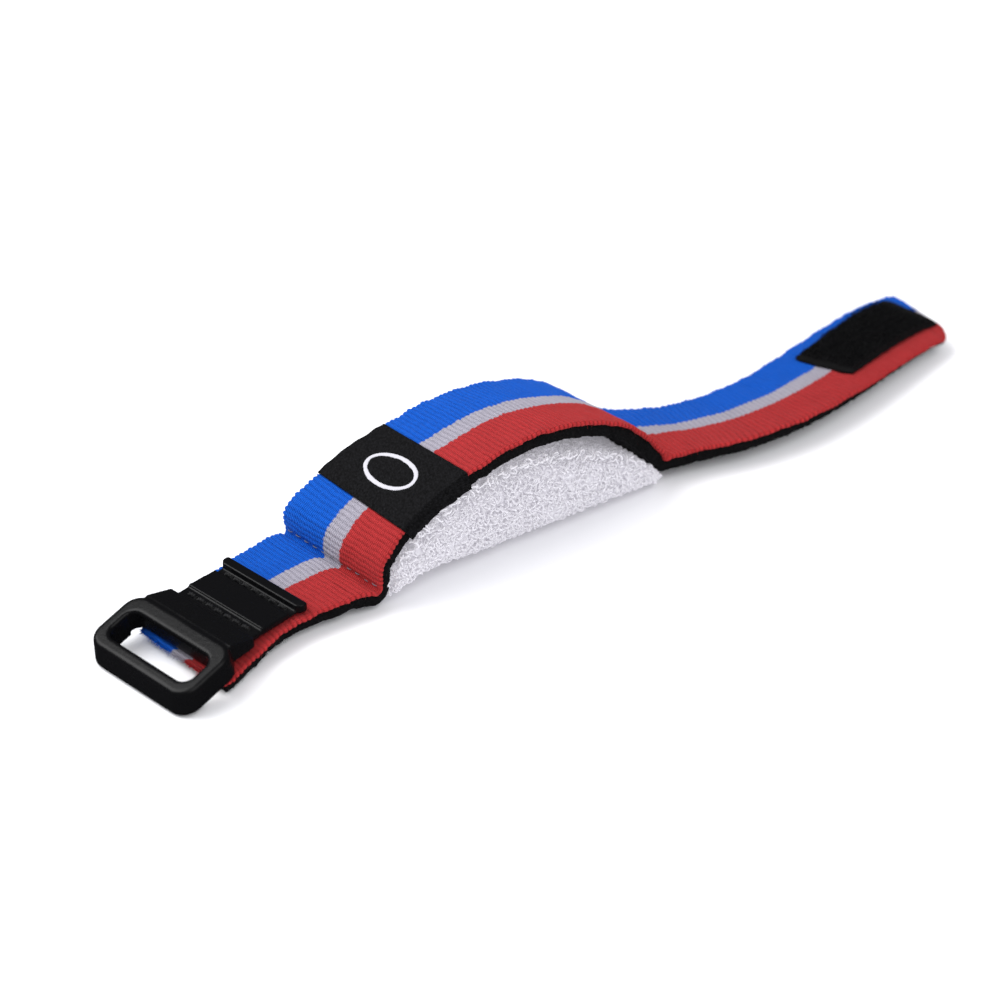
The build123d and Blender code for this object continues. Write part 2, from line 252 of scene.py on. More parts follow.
# --- the strap's path, read from the CAD
def node_points(node):
    mesh = frame["nodes"][node].data
    points = np.empty(len(mesh.vertices) * 3)
    mesh.vertices.foreach_get("co", points)
    return points.reshape(-1, 3) / MM


def node_edges(node):
    mesh = frame["nodes"][node].data
    pairs = np.empty(len(mesh.edges) * 2, np.int32)
    mesh.edges.foreach_get("vertices", pairs)
    return node_points(node)[pairs.reshape(-1, 2)]


def joint_place(name):
    return np.array(JOINTS[name]["pos_m"]) / MM


def joint_corner(name, side):
    """Where a joint's line meets the strap's near (-1) or far (+1) edge."""
    axis = np.array(JOINTS[name]["axis"], float)
    return joint_place(name) + axis * np.sign(axis[1]) * side * HALF_AT_JOINT.get(name, TAIL_HALF_WIDTH)


def rail(node, side, start, end, spacing=0.3):
    """The top near (-1) or far (+1) edge of a CAD band between two x positions, cut by planes."""
    edges = node_edges(node)
    x0, x1 = edges[:, 0, 0], edges[:, 1, 0]
    points = []
    for x in np.arange(start, end, spacing):
        cut = edges[(np.minimum(x0, x1) < x) & (np.maximum(x0, x1) > x)]
        if len(cut) == 0:
            continue
        share = ((x - cut[:, 0, 0]) / (cut[:, 1, 0] - cut[:, 0, 0]))[:, None]
        section = cut[:, 0] + (cut[:, 1] - cut[:, 0]) * share
        outer = (section[:, 1] * side).max()
        edge = section[section[:, 1] * side > outer - 0.35]
        points.append(edge[edge[:, 2].argmax()])
    return np.array(points)


def meet(before, after):
    """Where two rails that end short of a crease would meet in side view, each carried on straight."""
    p, q = before[-1], after[0]
    along_p = p - before[-6]
    along_q = q - after[5]
    matrix = np.array([[along_p[0], -along_q[0]], [along_p[2], -along_q[2]]])
    share = np.linalg.solve(matrix, np.array([q[0] - p[0], q[2] - p[2]]))
    return ((p + along_p * share[0]) + (q + along_q * share[1])) / 2


TAIL_SECTIONS = ("strap_tail_root", "strap_tail_middle", "strap_tail_end", "strap_tail_tip")
TAIL_JOINTS = ("tail_fold", "tail_curl", "tail_curl_middle", "tail_curl_tip")
HALF_AT_JOINT = {"buckle_fold": 11.0, "front_fold": 12.3, "tail_fold": 11.2}
TAIL_HALF_WIDTH = 9.4
END_LAG = {-1: 3.0, 1: 0.4}     # how far each edge starts from the CAD strap's cut end
JOINT_MARGIN = 2.6
TIP_MARGIN = 4.0
VALLEY_DROP = 0.4
ARCH_EDGE = 11.6                # points of the arch that lie further out are its edges
# The arch's front foot stands nearly upright on its sewn crease: (x, z) of each edge, up to where the
# CAD's own edge takes over.
ARCH_FOOT = {-1: ((-31.6, 6.4), (-31.0, 9.2)),
             1: ((-34.7, 6.3), (-34.3, 8.2), (-33.1, 10.0), (-30.6, 11.5))}
ARCH_FROM = {-1: -30.1, 1: -28.4}


def edge_rail(side):
    """One long top edge of the whole strap, with the marks where each joint's line crosses it."""
    buckle_x = joint_corner("buckle_fold", side)[0]
    valley_front = joint_corner("front_fold", side)
    start = node_points("strap_buckle")[:, 0].min() + END_LAG[side] + END_TRIM
    front = np.vstack([rail("strap_buckle", side, start, buckle_x - JOINT_MARGIN),
                       rail("strap_front", side, buckle_x + JOINT_MARGIN, valley_front[0] - JOINT_MARGIN)])
    arch_points = node_points("strap_arch")
    outer = arch_points[arch_points[:, 1] * side > ARCH_EDGE][:, 0]
    arch = rail("strap_arch", side, outer.min() + 0.9, outer.max() - 0.9, 0.2)
    crossings = [joint_corner(joint, side)[0] for joint in TAIL_JOINTS]
    tip = node_points(TAIL_SECTIONS[-1])[:, 0].max()
    ends = [x - JOINT_MARGIN for x in crossings[1:]] + [tip - TIP_MARGIN]
    tail = np.vstack([rail(section, side, x + JOINT_MARGIN, end)
                      for section, x, end in zip(TAIL_SECTIONS, crossings, ends)])
    valley_tail = meet(arch, tail)
    valley_front[2] = front[-1, 2] - VALLEY_DROP
    marks = sorted([buckle_x, valley_front[0], valley_tail[0], *crossings[1:]])
    arch = arch[arch[:, 0] > ARCH_FROM[side]]
    foot = [(x, arch[0, 1], z) for x, z in ARCH_FOOT[side]]
    return np.vstack([front, [valley_front], foot, arch, [valley_tail], tail]), marks


def smooth(values, reach):
    """A Gaussian running mean down the first axis that keeps the ends in place."""
    width = int(reach * 3)
    kernel = np.exp(-0.5 * (np.arange(-width, width + 1) / reach) ** 2)
    kernel /= kernel.sum()
    head = 2 * values[0] - values[1:width + 1][::-1]
    tail = 2 * values[-1] - values[-width - 1:-1][::-1]
    padded = np.vstack([head, values, tail])
    return np.stack([np.convolve(padded[:, k], kernel, "valid") for k in range(values.shape[1])], 1)


class Strap:
    """The strap's top surface as stations STEP apart: centre, direction across, normal and half width."""

    def __init__(self):
        pieces = {-1: [], 1: []}
        cuts, lengths = {}, {}
        for side in (-1, 1):
            line, marks = edge_rail(side)
            arc = lengths_along(line)
            stops = [0.0] + [self.arc_near(line, arc, x) for x in marks] + [arc[-1]]
            cuts[side] = (line, arc, stops)
            lengths[side] = np.diff(stops)
        for k in range(len(lengths[1])):
            count = int(round((lengths[1][k] + lengths[-1][k]) / 2 / STEP))
            for side, (line, arc, stops) in cuts.items():
                where = np.linspace(stops[k], stops[k + 1], count, endpoint=False)
                pieces[side].append(sample(line, arc, where))
        creases = np.cumsum([len(part) for part in pieces[1]])[[1, 2]]
        near, far = (self.soften(np.vstack(pieces[side]), creases) for side in (-1, 1))
        near, far = self.square_tip(near, far)
        aside, length = END_SHIFT
        share = np.clip(1 - np.arange(len(near)) * STEP / length, 0, 1)[:, None]
        shift = unit(near - far) * aside * share ** 2 * (3 - 2 * share)
        near, far = near + shift, far + shift
        self.centre = (near + far) / 2
        self.across = unit(far - near)
        self.half = np.linalg.norm(far - near, axis=1) / 2
        along = unit(np.gradient(self.centre, axis=0))
        self.normal = unit(smooth(np.cross(along, self.across), 4))
        self.along = np.cross(self.across, self.normal)
        self.arc = lengths_along(self.centre)
        self.length = self.arc[-1]
        self.feet = [self.joint(name) for name in ("front_fold", "tail_fold")]

    @staticmethod
    def arc_near(line, arc, x):
        """Arc length where a nearly level stretch of edge passes x."""
        nearest = np.abs(line[:, 0] - x).argmin()
        return arc[nearest] + x - line[nearest, 0]

    @staticmethod
    def soften(line, creases):
        """The edge made smooth, but left sharper close to the sewn creases."""
        stations = np.arange(len(line))[:, None]
        share = sum(np.exp(-((stations - crease) / CREASE_WIDTH) ** 2) for crease in creases)
        return smooth(line, SMOOTHING) * (1 - share) + smooth(line, CREASE_SMOOTHING) * share

    @staticmethod
    def square_tip(near, far):
        """Carries both edges on, straight, to the CAD strap's tip, and the far edge a little further."""
        along = unit((near[-1] + far[-1]) - (near[-25] + far[-25]))
        across = unit(far[-1] - near[-1])
        flat = along - across * (along @ across)
        reach = node_points("strap_tail_tip")[:, 0].max() - 0.5 - (near[-1, 0] + far[-1, 0]) / 2
        count = int(reach / STEP)
        made = []
        for edge, skew in ((near, -TIP_SKEW), (far, TIP_SKEW)):
            slack = (edge[-1] - (near[-1] + far[-1]) / 2) @ flat
            steps = np.arange(1, count + 1)[:, None] / count
            made.append(np.vstack([edge, edge[-1] + flat * (reach - slack + skew) * steps]))
        return made

    def at(self, s, offset, height):
        """Points at arc length s, offset from the centre towards the far edge, and height above the top."""
        height = height - self.crease_depth(s)
        centre = sample(self.centre, self.arc, s)
        return centre + self.across_at(s) * offset[..., None] + self.normal_at(s) * height[..., None]

    def crease_depth(self, s):
        """How far the strap is drawn in at its sewn creases."""
        return CREASE_PINCH * sum(np.exp(-((s - foot) / 0.5) ** 2) for foot in self.feet)

    def normal_at(self, s):
        return sample(self.normal, self.arc, s)

    def across_at(self, s):
        return sample(self.across, self.arc, s)

    def half_at(self, s):
        return np.interp(s, self.arc, self.half)

    def reach(self, s, share):
        """How far the strap reaches to the near (share below 0) or far side, with the tip's round corners."""
        radius = np.where(share < 0, *TIP_CORNERS)
        inner = np.clip(radius - (self.length - s), 0, radius)
        return self.half_at(s) - radius + np.sqrt(radius ** 2 - inner ** 2)

    def nearest(self, points):
        """Arc length, offset and height of points near the strap."""
        s = np.empty(len(points))
        for k in range(0, len(points), 500):
            reach = points[k:k + 500, None] - self.centre[None]
            ahead = np.einsum("ijk,jk->ij", reach, self.along)
            s[k:k + 500] = self.arc[((reach ** 2).sum(-1) + 40 * ahead ** 2).argmin(1)]
        reach = points - sample(self.centre, self.arc, s)
        return s, (reach * self.across_at(s)).sum(1), (reach * self.normal_at(s)).sum(1)

    def span(self, node):
        """Lowest and highest arc length, offset and height of a CAD node that lies on the strap."""
        points = node_points(node)
        found = np.stack(self.nearest(points[::max(len(points) // 400, 1)]), 1)
        return found.min(0), found.max(0)

    def joint(self, name):
        """Arc length at a joint."""
        return self.nearest(joint_place(name)[None])[0][0]


STRAP = Strap()
LABEL_SPAN = [corner[0] for corner in STRAP.span("label_sleeve")]
LEFT_FOOT, RIGHT_FOOT = STRAP.joint("front_fold"), STRAP.joint("tail_fold")


# --- materials
class Graph:
    """A node tree built round its main node. Values are numbers, colours or other nodes' outputs."""

    def __init__(self, tree, main="Principled BSDF"):
        self.nodes, self.links = tree.nodes, tree.links
        self.main = tree.nodes[main]

    def feed(self, socket, value):
        if isinstance(value, bpy.types.NodeSocket):
            self.links.new(value, socket)
        else:
            socket.default_value = value

    def set(self, **values):
        """Sets the main node's inputs by name, with _ for a space."""
        for key, value in values.items():
            self.feed(self.main.inputs[key.replace("_", " ")], value)

    def node(self, kind, inputs=None, **options):
        """A new node with its options set, and then its inputs."""
        node = self.nodes.new("ShaderNode" + kind)
        for key, value in options.items():
            setattr(node, key, value)
        for key, value in (inputs or {}).items():
            self.feed(node.inputs[key], value)
        return node

    def attribute(self, name):
        return self.node("Attribute", attribute_name=name).outputs["Fac"]

    def glossy(self):
        """1 for a ray that left a glossy surface, and 0 for any other."""
        return self.node("LightPath").outputs["Is Glossy Ray"]

    def math(self, operation, a, b=0.0):
        return self.node("Math", {0: a, 1: b}, operation=operation).outputs[0]

    def add(self, a, b):
        return self.math("ADD", a, b)

    def times(self, a, b):
        return self.math("MULTIPLY", a, b)

    def noise(self, scale, detail=2.0):
        """Noise in the row frame, with scale features per metre."""
        place = self.node("TexCoord").outputs["Object"]
        return self.node("TexNoise", {"Vector": place, "Scale": scale, "Detail": detail}).outputs["Fac"]

    def mix(self, share, a, b, blend_type="MIX"):
        """Colour a where share is 0 and colour b where it is 1."""
        return self.node("Mix", {0: share, 6: a, 7: b}, data_type="RGBA", blend_type=blend_type).outputs[2]

    def rescale(self, value, low, high, to_low, to_high):
        return self.node("MapRange", dict(enumerate((value, low, high, to_low, to_high)))).outputs[0]

    def bump(self, height, distance, strength=0.8):
        node = self.node("Bump", {"Height": height, "Distance": distance, "Strength": strength})
        self.set(Normal=node.outputs[0])


def new_material(name):
    material = bpy.data.materials.new(name)
    material.use_nodes = True
    return material, Graph(material.node_tree)


def striped_elastic():
    """Knitted elastic: three stripes along the strap, with painted shade between the ribs and painted light
    on their crests, and fine yarns.
    """
    material, graph = new_material("striped_elastic")
    across, along, crest = (graph.attribute(key) for key in ("across", "along", "crest"))
    rib = graph.math("FLOOR", graph.math("DIVIDE", along, RIB_PITCH))
    jitter = graph.node("TexWhiteNoise", {"W": rib}, noise_dimensions="1D").outputs[0]
    shift = graph.times(graph.math("SUBTRACT", jitter, 0.5), STRIPE_SHIFT)
    fray = graph.rescale(graph.noise(2600), 0.3, 0.7, -STRIPE_FRAY, STRIPE_FRAY)
    ramp = graph.node("ValToRGB", {0: graph.add(graph.add(across, shift), fray)})
    stops = ramp.color_ramp.elements
    stops[0].color, stops[1].color = BLUE, RED
    for edge, before, after in ((BLUE_SHARE, BLUE, PALE), (BLUE_SHARE + WHITE_SHARE, PALE, RED)):
        stops.new(edge - STRIPE_BLEED).color = before
        stops.new(edge + STRIPE_BLEED).color = after
    colour = ramp.outputs[0]
    fibre = graph.noise(3000, 3)
    yarn = graph.math("SINE", graph.times(across, 2 * math.pi * YARNS_ACROSS))
    # Painted light and shade: the share of the lit colour is highest on the rib crests and lowest in the
    # grooves, varied by random fibre tone and a faint ripple across the yarns.
    light = graph.rescale(crest, 0, 0.8, 0.30, 0.92)
    light = graph.add(light, graph.rescale(fibre, 0.3, 0.7, -0.20, 0.20))
    light = graph.add(light, graph.rescale(graph.noise(150), 0.3, 0.7, -0.08, 0.08))
    light = graph.add(light, graph.times(yarn, 0.12))
    # The painted groove shade: the stripe colour darkened by GROOVE_SHADE.
    groove = graph.mix(1.0, colour, GROOVE_SHADE, "MULTIPLY")
    graph.set(Base_Color=graph.mix(light, groove, colour), Roughness=0.85, Specular_IOR_Level=0.08,
              Sheen_Weight=0.03, Sheen_Roughness=0.5)
    graph.bump(graph.add(graph.times(yarn, 0.45), fibre), 0.00022, 0.9)
    return material


def black_cloth(name, grain=2600):
    """Black cloth with a fine fuzz, and a painted sheen that makes the raised fuzz slightly greyer, more so
    in random patches.
    """
    material, graph = new_material(name)
    fuzz = graph.noise(grain, 4)
    # Painted sheen: the raised fuzz is mixed towards a lighter copy of the black, more in some random patches
    # than others.
    sheen_patches = graph.rescale(graph.noise(220), 0.3, 0.7, 0.4, 1.0)
    share = graph.times(graph.rescale(fuzz, 0.45, 0.75, 0, 1), sheen_patches)
    graph.set(Base_Color=graph.mix(share, BLACK_CLOTH, FUZZ_SHEEN_CLOTH), Roughness=0.9, Specular_IOR_Level=0.08,
              Sheen_Weight=0.01, Sheen_Roughness=0.5)
    graph.bump(fuzz, 0.00012)
    return material


def terry_yarn():
    """Soft white cotton yarn, which lets some light through, with a painted glow that lifts the shade between
    its loops.
    """
    material, graph = new_material("terry_yarn")
    # The emission is painted light: the yarn glows in its own colour to brighten its shaded loops.
    graph.set(Base_Color=TERRY_WHITE, Roughness=0.95, Specular_IOR_Level=0.03,
              Subsurface_Weight=0.5, Subsurface_Radius=(1, 1, 1), Subsurface_Scale=0.0012,
              Emission_Color=TERRY_WHITE, Emission_Strength=TERRY_GLOW)
    return material


def woven_label():
    """Black label cloth: fine threads across and along, with a painted highlight on the threads' crowns."""
    material, graph = new_material("label_weave")
    across, along = (graph.math("SINE", graph.times(graph.attribute(key), 2 * math.pi / LABEL_THREAD))
                     for key in ("round", "along"))
    weave = graph.times(across, along)
    fuzz = graph.noise(2400, 3)
    # Painted highlight: where the weave's threads crown, the black is mixed towards a lighter grey, broken up
    # by the fuzz.
    share = graph.times(graph.rescale(weave, -1, 1, 0, 1), graph.rescale(fuzz, 0.35, 0.7, 0, 1))
    colour = graph.mix(share, BLACK_CLOTH, LABEL_CROWN_HIGHLIGHT)
    graph.set(Base_Color=colour, Roughness=0.8, Specular_IOR_Level=0.08)
    graph.bump(graph.add(graph.times(weave, 0.6), fuzz), 0.0001)
    return material


def thread(name, colour, rough=0.7):
    """Sewing thread or woven yarn in one colour."""
    material, graph = new_material(name)
    graph.set(Base_Color=colour, Roughness=rough, Specular_IOR_Level=0.25, Sheen_Weight=0.05)
    graph.bump(graph.noise(5200), 0.00005, 0.6)
    return material


def moulded_black():
    """Satin moulded plastic with a faint orange peel."""
    material, graph = new_material("moulded_black")
    blotch = graph.rescale(graph.noise(240), 0.3, 0.7, 0.22, 0.32)
    graph.set(Base_Color=MOULDED, Roughness=blotch, Specular_IOR_Level=0.15)
    graph.bump(graph.noise(1500), 0.00003, 0.5)
    return material


# --- tubes: loops, fibres, hooks and threads
def tubes(paths, radius, sides=5):
    """Points and quads of tubes, along paths of shape (count, steps, 3); radius may vary along each."""
    count, steps, _ = paths.shape
    along = unit(np.gradient(paths, axis=1))
    guide = unit(np.cross(along, np.array([0.31, 0.59, 0.74])))
    other = np.cross(along, guide)
    turn = np.arange(sides) * 2 * np.pi / sides
    radius = np.broadcast_to(radius, (count, steps))[..., None, None]
    ring = guide[:, :, None] * np.cos(turn)[:, None] + other[:, :, None] * np.sin(turn)[:, None]
    points = paths[:, :, None] + ring * radius
    starts = np.arange(count)[:, None, None] * steps * sides
    return points.reshape(-1, 3), (starts + ring_faces(steps, sides)).reshape(-1, 4)


def hairs(roots, directions, random, length, radius):
    """Short tapered fibres that stand on the roots and curl a little."""
    count = len(roots)
    steps = np.linspace(0, 1, 4)
    reach = length * random.uniform(0.4, 1.3, count)
    lean = unit(directions + random.normal(0, 0.45, (count, 3)))
    curl = random.normal(0, 0.35, (count, 3))
    paths = (roots[:, None] + lean[:, None] * (steps * reach[:, None])[..., None]
             + curl[:, None] * (steps ** 2 * reach[:, None])[..., None])
    return tubes(paths, radius * (1 - 0.7 * steps), 3)


def loop_paths(places, normals, random, radius):
    """A curled yarn loop at every place: it leaves the cloth, rises, leans over and comes back."""
    count = len(places)
    steps = np.linspace(-0.88, 0.88, LOOP_STEPS) * np.pi
    side = unit(np.cross(normals, random.normal(size=(count, 3))))
    other = np.cross(normals, side)
    lean = random.normal(0, 0.75, count)
    up = unit(normals + other * lean[:, None] + side * random.normal(0, 0.3, count)[:, None])
    width = radius * random.uniform(0.65, 1.2, count)
    tall = radius * random.uniform(0.6, 1.25, count)
    twist = random.uniform(-1.0, 1.0, count) * radius
    out = np.sin(steps) * width[:, None]
    rise = (np.cos(steps) + 0.85) * tall[:, None]
    kinks = random.normal(0, 0.05, (count, LOOP_STEPS)) * LOOP_RADIUS
    aside = np.sin(steps / 2) * twist[:, None] + kinks
    arch = places[:, None] + side[:, None] * out[..., None] + up[:, None] * rise[..., None]
    return arch + other[:, None] * aside[..., None]


def merge(*parts):
    """One list of points and quads from several."""
    starts = np.cumsum([0] + [len(points) for points, _ in parts])
    points = np.vstack([points for points, _ in parts])
    return points, np.vstack([faces + start for (_, faces), start in zip(parts, starts)])


# --- the elastic band and its backing
def per_rib(number, seed):
    """A steady random value 0..1 for each rib."""
    table = np.random.default_rng(seed).uniform(0, 1, 512)
    return table[(number.astype(int) + 40) % 512]


def rib_phase(s, offset):
    """Where a point lies across its rib, 0..1, with the ribs wandering slightly; and the rib's number."""
    wander = 0.10 * np.sin(offset * 0.55 + s * 0.11) + 0.06 * np.sin(offset * 1.7 + s * 0.37)
    turns = (s + wander) / RIB_PITCH
    number = np.floor(turns)
    return turns - number, number


def wrap(s, top_count, side_count, under_count, side_power=1.0):
    """A grid of stations s by points round a strap's cross-section. For each point: its station, its share
    of the flat half width, how far round the side it is, and its depth 0..1; then the closed tube's quads."""
    turn = np.linspace(0, math.pi, side_count + 2)[1:-1]
    share = np.concatenate([np.linspace(1, -1, top_count), np.full(side_count, -1.0),
                            np.linspace(-1, 1, under_count), np.full(side_count, 1.0)])
    side = np.sin(turn) ** side_power
    top, under = np.zeros(top_count), np.zeros(under_count)
    out = np.concatenate([top, side, under, side])
    down = np.concatenate([top, (1 - np.cos(turn)) / 2, under + 1, (1 + np.cos(turn)) / 2])
    ss = np.repeat(s[:, None], len(share), 1)
    return ss, share[None], out[None], down[None], tube_faces(*ss.shape)


def edge_rise(s, offset):
    """How far the strap's edges wave up and down; and the tail's near edge rolls down towards the tip."""
    side = offset / STRAP.half_at(s)
    wave = 0.08 * np.sin(s * 0.83 + 0.6) + 0.06 * np.sin(s * 1.71)
    roll = TAIL_DROOP * np.clip((s - RIGHT_FOOT - 15) / 40, 0, 1)
    return wave * np.abs(side) ** 6 - roll * np.clip(-side, 0, 1) ** 5


def backing_depth(s):
    """The backing's thickness, which is less at the strap's two ends."""
    stops = (0, STRAP.joint("buckle_fold"), RIGHT_FOOT + 10, STRAP.length)
    return np.interp(s, stops, (END_BACKING, BACKING_THICKNESS, BACKING_THICKNESS, END_BACKING))


def outside_label(s):
    """1 where the strap's edge is free, and 0 where the label holds it in."""
    return 1.0 * ((s < LABEL_SPAN[0] - 0.2) | (s > LABEL_SPAN[1] + 0.2))


def band_points(s, share, out, down):
    """Points of the ribbed band, with the stripe place and rib crest of each."""
    offset = share * (STRAP.reach(s, share) - EDGE_RADIUS)
    phase, number = rib_phase(s, offset)
    crest = np.sin(np.pi * phase) ** 0.7
    size = 0.7 + 0.6 * per_rib(number, 3)
    tooth = TOOTH * (crest - 0.4) * (0.3 + 1.4 * per_rib(number, 7)) * outside_label(s)
    offset = offset + np.sign(share) * out * (EDGE_RADIUS + tooth)
    height = -down * BAND_THICKNESS + RIB_HEIGHT * (crest * size - 1) * np.clip(1 - down, 0.15, 1)
    height = height + edge_rise(s, offset) - LABEL_SINK * (1 - outside_label(s))
    points = STRAP.at(s, offset, height)
    wobble = waves(11, points, 0.8) * 0.02 + waves(12, points, 6) * 0.06
    points = points + STRAP.normal_at(s) * wobble[..., None]
    across = np.clip((1 - offset / np.maximum(STRAP.half_at(s), 1)) / 2, 0, 1)
    return points, across, crest


def edge_fibres(start, end, random, per_mm, height, length, radius, inset):
    """Fibres that stand outward along the strap's edges, with the stripe place of each point."""
    s = random.uniform(start, end, int((end - start) * per_mm))
    s = s[outside_label(s) > 0]
    count = len(s)
    side = random.choice([-1.0, 1.0], count)
    lowest = FIBRE_CLEARANCE - BAND_THICKNESS - backing_depth(s)
    level = np.maximum(random.uniform(height[0], height[1], count), lowest)
    offset = side * (STRAP.reach(s, side) - inset)
    depth = np.clip((-level - BAND_THICKNESS) / backing_depth(s), 0, 1)
    roots = STRAP.at(s, offset, level + edge_rise(s, offset) * (1 - depth))
    tilt = random.uniform(-0.6, 0.4, count)[:, None]
    outward = unit(STRAP.across_at(s) * side[:, None] + STRAP.normal_at(s) * tilt)
    points, faces = hairs(roots, outward, random, length, radius)
    return points, faces, np.repeat(np.where(side > 0, 0.0, 1.0), len(points) // max(count, 1))


def band_piece(name, start, end):
    """A length of the ribbed band between two arc lengths, with loose fibres on its edges."""
    stations = np.linspace(start, end, int(round((end - start) / STEP)) + 1)
    ss, share, out, down, faces = wrap(stations, 34, 5, 8)
    points, across, crest = band_points(ss, share, out, down)
    random = np.random.default_rng(int(start) + 5)
    fibres = [edge_fibres(start, end, random, per_mm=9, height=(-0.9, -0.1), length=0.42, radius=0.028,
                          inset=0.15)]
    if start == 0:
        fibres.append(cut_fibres(random))
    places = np.concatenate([place for _, _, place in fibres])
    # Loose fibres get a crest of 0.8, so they take nearly the full painted crest light.
    data = {"across": np.append(across, places), "along": np.append(ss, np.full(len(places), start)),
            "crest": np.append(crest, np.full(len(places), 0.8))}
    return mesh_piece(name, *merge((points.reshape(-1, 3), faces), *[part[:2] for part in fibres]), data)


def cut_fibres(random):
    """The frayed yarns at the strap's cut end, with the stripe place of each point."""
    count = 620
    half = STRAP.half_at(0.0)
    offset = random.uniform(-half, half, count)
    roots = STRAP.at(np.zeros(count), offset, random.uniform(-0.9, -0.1, count))
    back = random.normal(0, 0.25, (count, 3)) - STRAP.along[0]
    points, faces = hairs(roots, unit(back), random, 0.5, 0.045)
    return points, faces, np.repeat((1 - offset / half) / 2, len(points) // count)


def backing_piece(name, start, end):
    """A length of the soft black backing under the band, with a brushed edge."""
    stations = np.linspace(start, end, int(round((end - start) / BACKING_STEP)) + 1)
    ss, share, out, down, faces = wrap(stations, 6, 9, 24, 0.6)
    flare = BACKING_FLARE * np.clip(1 - ss / FLARE_LENGTH, 0, 1) * (share < 0)
    half = STRAP.reach(ss, share) - BACKING_INSET - BACKING_ROUND + flare
    offset = share * half + np.sign(share) * out * BACKING_ROUND
    height = 0.06 - BAND_THICKNESS - down * (backing_depth(ss) - 0.1) + edge_rise(ss, offset) * (1 - down)
    points = STRAP.at(ss, offset, height)
    middle = STRAP.at(ss, offset * 0.9, -BAND_THICKNESS - backing_depth(ss) / 2)
    wobble = waves(21, points, 0.6, 40) * 0.06 + waves(22, points, 2.6) * 0.09
    points = points + unit(points - middle) * (wobble * np.clip(down * 4, 0.1, 1))[..., None]
    low = -BAND_THICKNESS - backing_depth((start + end) / 2) + 0.1
    random = np.random.default_rng(int(start) + 77)
    fibres = edge_fibres(start, end, random, per_mm=16, height=(low, -1.2), length=0.45, radius=0.03,
                         inset=BACKING_INSET + 0.1)
    return mesh_piece(name, *merge((points.reshape(-1, 3), faces), fibres[:2]))


# --- the terry pad
# The pad's shape against its length, as (x, value in mm).
PAD_LEFT, PAD_RIGHT = -31.2, 34.0
PAD_LIFT = ((-31, 0.1), (-27, 1.0), (-22, 1.7), (-17, 1.4), (-12, 0.4), (-8, 0.0), (32, 0.0))
PAD_TUCK = ((-31, -0.3), (-25, 0.5), (-15, 0.4), (-8, 0.0), (0, -0.6), (8, -1.3), (24, -1.6), (34, -1.3))
PAD_SLACK = ((-31, 0.1), (-10, 0.1), (-2, 0.7), (7, 1.8), (17, 2.6), (25, 2.4), (31, 0.8))


def at_x(table, x):
    """A value from a table of (x, value), smoothed."""
    xs, values = zip(*table)
    return sum(np.interp(x + shift, xs, values) for shift in (-1.2, 0, 1.2)) / 3


def terry_surface(share, turn):
    """Points on the pad: share 0..1 along it, turn round its section from the near side over the top."""
    x = PAD_LEFT + share * (PAD_RIGHT - PAD_LEFT)
    s = LEFT_FOOT + 2.6 + share * (RIGHT_FOOT - LEFT_FOOT - 5.0)
    depth = -STACK - at_x(PAD_SLACK, x) - LOOP_COVER
    roof = {side: STRAP.at(s, np.full_like(s, side * PAD_HALF_WIDTH), depth) for side in (-1, 1)}
    low = at_x(PAD_LIFT, x) + LOOP_COVER
    c, sn = np.cos(turn), np.sin(turn)
    u = -np.sign(c) * np.abs(c) ** 0.5
    v = np.sign(sn) * np.abs(sn) ** 0.7
    end = np.clip(np.minimum(share, 1 - share) / 0.06, 0, 1)
    pinch = 0.55 + 0.45 * np.sqrt(1 - (1 - end) ** 2)
    toward = ((1 + u * pinch) / 2)[..., None]
    top = roof[-1] * (1 - toward) + roof[1] * toward
    breadth = PAD_HALF_WIDTH - at_x(PAD_TUCK, x)
    floor = np.stack([x, u * pinch * breadth, np.minimum(low, top[..., 2] - 0.6)], -1)
    up = ((1 + v * pinch) / 2)[..., None]
    points = floor * (1 - up) + top * up
    points[..., 1] += u * np.cos(v * math.pi / 2) * PAD_BULGE
    return points


def terry_base():
    """The pad's body under its loops."""
    turns = np.linspace(0, 2 * np.pi, 72, endpoint=False)
    share, turn = np.meshgrid(np.linspace(0.0, 1.0, 120), turns, indexing="ij")
    points = terry_surface(share, turn)
    points = points + waves(31, points, 7)[..., None] * np.array([0.08, 0.2, 0.15])
    return mesh_piece("terry_base", points.reshape(-1, 3), tube_faces(*share.shape))


def terry_places(count, random):
    """Places spread evenly over the pad's surface, with each one's outward normal, and the whole area."""
    turns = np.linspace(0, 2 * np.pi, 121)
    grid = terry_surface(*np.meshgrid(np.linspace(0.003, 0.997, 160), turns, indexing="ij"))
    one, two = grid[1:, :-1] - grid[:-1, :-1], grid[:-1, 1:] - grid[:-1, :-1]
    area = np.linalg.norm(np.cross(one, two), axis=-1)
    pick = random.choice(area.size, count, p=(area / area.sum()).ravel())
    i, j = np.unravel_index(pick, area.shape)
    a, b = random.uniform(0, 1, (2, count, 1))
    places = grid[i, j] + one[i, j] * a + two[i, j] * b
    normals = unit(np.cross(two[i, j], one[i, j]))
    normals *= np.sign(np.einsum("ij,ij->i", normals, places - grid[i].mean(1)))[:, None]
    return places, normals, area.sum()


def rim_curls(random):
    """Larger curls where the pad's cloth comes out from under the backing, with their outward normals."""
    s = np.arange(LEFT_FOOT + 4.0, RIGHT_FOOT - 3.0, 0.9)
    s = np.concatenate([s, s]) + random.normal(0, 0.2, 2 * len(s))
    side = np.repeat([-1.0, 1.0], len(s) // 2)
    x = STRAP.at(s, np.zeros_like(s), np.zeros_like(s))[:, 0]
    height = -STACK - at_x(PAD_SLACK, x) - random.uniform(0.3, 1.1, len(s))
    places = STRAP.at(s, side * PAD_HALF_WIDTH, height)
    return places, unit(STRAP.across_at(s) * side[:, None] + random.normal(0, 0.3, (len(s), 3)))


